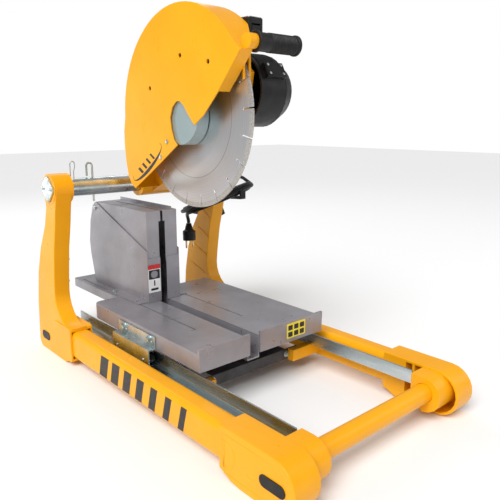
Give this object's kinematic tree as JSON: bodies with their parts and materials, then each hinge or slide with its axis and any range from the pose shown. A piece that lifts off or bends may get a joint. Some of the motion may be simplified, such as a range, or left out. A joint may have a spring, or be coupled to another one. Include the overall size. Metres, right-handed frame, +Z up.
{
  "type": "masonry table saw",
  "caption": "Table saw for bricks and tiles: a tilting head with a guarded diamond blade over a sliding slotted table and hood on a rail frame.",
  "frame": {"origin": "on the floor, midway between the side beams and midway along the saw's length without its cord", "axes": "+Z up, +Y from the operator's side to the pivot end, +X to the motor's side"},
  "size_m": [0.5282, 0.906, 0.7195],
  "materials": {
    "yellow_enamel": "semi-gloss enamel",
    "zinc_plate": "zinc plated",
    "grey_enamel": "metallic grey enamel",
    "bare_steel": "ground steel",
    "black_plastic": "fine texture",
    "dark_steel": "black paint",
    "black_rubber": "ribbed",
    "copper_winding": "enamelled wire"
  },
  "bodies": {
    "root": {"side_beam_left": "yellow_enamel", "side_beam_right": "yellow_enamel", "front_casting_left": "yellow_enamel", "front_casting_right": "yellow_enamel", "upright_left": "yellow_enamel", "upright_right": "yellow_enamel", "rail_left": "zinc_plate", "rail_right": "zinc_plate", "pivot_flange_left": "zinc_plate", "pivot_flange_right": "zinc_plate", "end_plug_left_front": "black_plastic", "end_plug_left_rear": "black_plastic", "end_plug_right_front": "black_plastic", "end_plug_right_rear": "black_plastic", "front_cross_tube": "yellow_enamel", "under_cross_bar": "dark_steel", "pivot_tube": "zinc_plate", "tube_clip": "zinc_plate", "cord_hook_front": "black_plastic", "cord_hook_rear": "black_plastic", "cord_wedge": "black_plastic", "cord_gland": "black_plastic", "cord_lead": "black_rubber", "cord_coil": "black_rubber", "cord_tail": "black_rubber", "plug": "black_plastic"},
    "lock_pin": {"lock_pin": "zinc_plate"},
    "table": {"table_tray": "grey_enamel", "blade_trough": "grey_enamel", "roller_bracket_left": "zinc_plate", "roller_bracket_right": "zinc_plate", "roller_axle_left_front": "zinc_plate", "roller_axle_left_rear": "zinc_plate", "roller_axle_right_front": "zinc_plate", "roller_axle_right_rear": "zinc_plate"},
    "roller_left_front": {"roller_left_front": "black_plastic"},
    "roller_left_rear": {"roller_left_rear": "black_plastic"},
    "roller_right_front": {"roller_right_front": "black_plastic"},
    "roller_right_rear": {"roller_right_rear": "black_plastic"},
    "hood": {"hood_box": "grey_enamel", "flap_pin": "zinc_plate", "hood_bolt_left": "zinc_plate", "hood_bolt_right": "zinc_plate"},
    "hood_flap": {"hood_flap": "grey_enamel"},
    "head": {"head_arm": "yellow_enamel", "gearbox_cover": "black_plastic", "blade_guard": "yellow_enamel", "arbor_bearing": "bare_steel", "motor_housing": "black_plastic", "motor_end_cover": "black_plastic", "handle_bar": "bare_steel", "handle_grip": "black_rubber", "switch_box": "black_plastic"},
    "switch_rocker": {"switch_rocker": "dark_steel"},
    "blade": {"blade": "bare_steel", "arbor_shaft": "bare_steel", "outer_flange": "zinc_plate", "driven_gear": "bare_steel"},
    "motor_rotor": {"motor_rotor": "copper_winding"}
  },
  "joints": [
    {"name": "table_slide", "type": "slide", "parent": "root", "child": "table", "axis": [0, 1, 0], "range_m": [-0.29, 0.19]},
    {"name": "roller_left_front_spin", "type": "hinge", "parent": "table", "child": "roller_left_front", "pos_m": [-0.1641, -0.001, 0.0706], "axis": [1, 0, 0], "continuous": true},
    {"name": "roller_left_rear_spin", "type": "hinge", "parent": "table", "child": "roller_left_rear", "pos_m": [-0.1641, 0.099, 0.0706], "axis": [1, 0, 0], "continuous": true},
    {"name": "roller_right_front_spin", "type": "hinge", "parent": "table", "child": "roller_right_front", "pos_m": [0.1559, -0.001, 0.0706], "axis": [1, 0, 0], "continuous": true},
    {"name": "roller_right_rear_spin", "type": "hinge", "parent": "table", "child": "roller_right_rear", "pos_m": [0.1559, 0.099, 0.0706], "axis": [1, 0, 0], "continuous": true},
    {"name": "hood_slide", "type": "slide", "parent": "table", "child": "hood", "axis": [0, 1, 0], "range_m": [-0.25, 0.14]},
    {"name": "flap_tilt", "type": "hinge", "parent": "hood", "child": "hood_flap", "pos_m": [-0.0321, 0.371, 0.31], "axis": [1, 0, 0], "range_deg": [0, 12]},
    {"name": "head_tilt", "type": "hinge", "parent": "root", "child": "head", "pos_m": [-0.0041, 0.259, 0.375], "axis": [1, 0, 0], "range_deg": [0, 52]},
    {"name": "blade_spin", "type": "hinge", "parent": "head", "child": "blade", "pos_m": [-0.0321, 0.022, 0.5205], "axis": [1, 0, 0], "continuous": true},
    {"name": "rotor_spin", "type": "hinge", "parent": "head", "child": "motor_rotor", "pos_m": [-0.0321, -0.008, 0.5695], "axis": [1, 0, 0], "continuous": true},
    {"name": "switch_rock", "type": "hinge", "parent": "head", "child": "switch_rocker", "pos_m": [0.0149, -0.102, 0.6625], "axis": [1, 0, 0], "range_deg": [0, 12]},
    {"name": "lock_pin_pull", "type": "slide", "parent": "root", "child": "lock_pin", "axis": [0, 0, 1], "range_m": [0, 0.06]}
  ],
  "couplings": [
    {"joint": "roller_left_front_spin", "follows": "table_slide", "rad_per_m": -90.909},
    {"joint": "roller_left_rear_spin", "follows": "table_slide", "rad_per_m": -90.909},
    {"joint": "roller_right_front_spin", "follows": "table_slide", "rad_per_m": -90.909},
    {"joint": "roller_right_rear_spin", "follows": "table_slide", "rad_per_m": -90.909},
    {"joint": "rotor_spin", "follows": "blade_spin", "ratio": -4},
    {"joint": "flap_tilt", "follows": "head_tilt", "ratio": 0.23077}
  ]
}
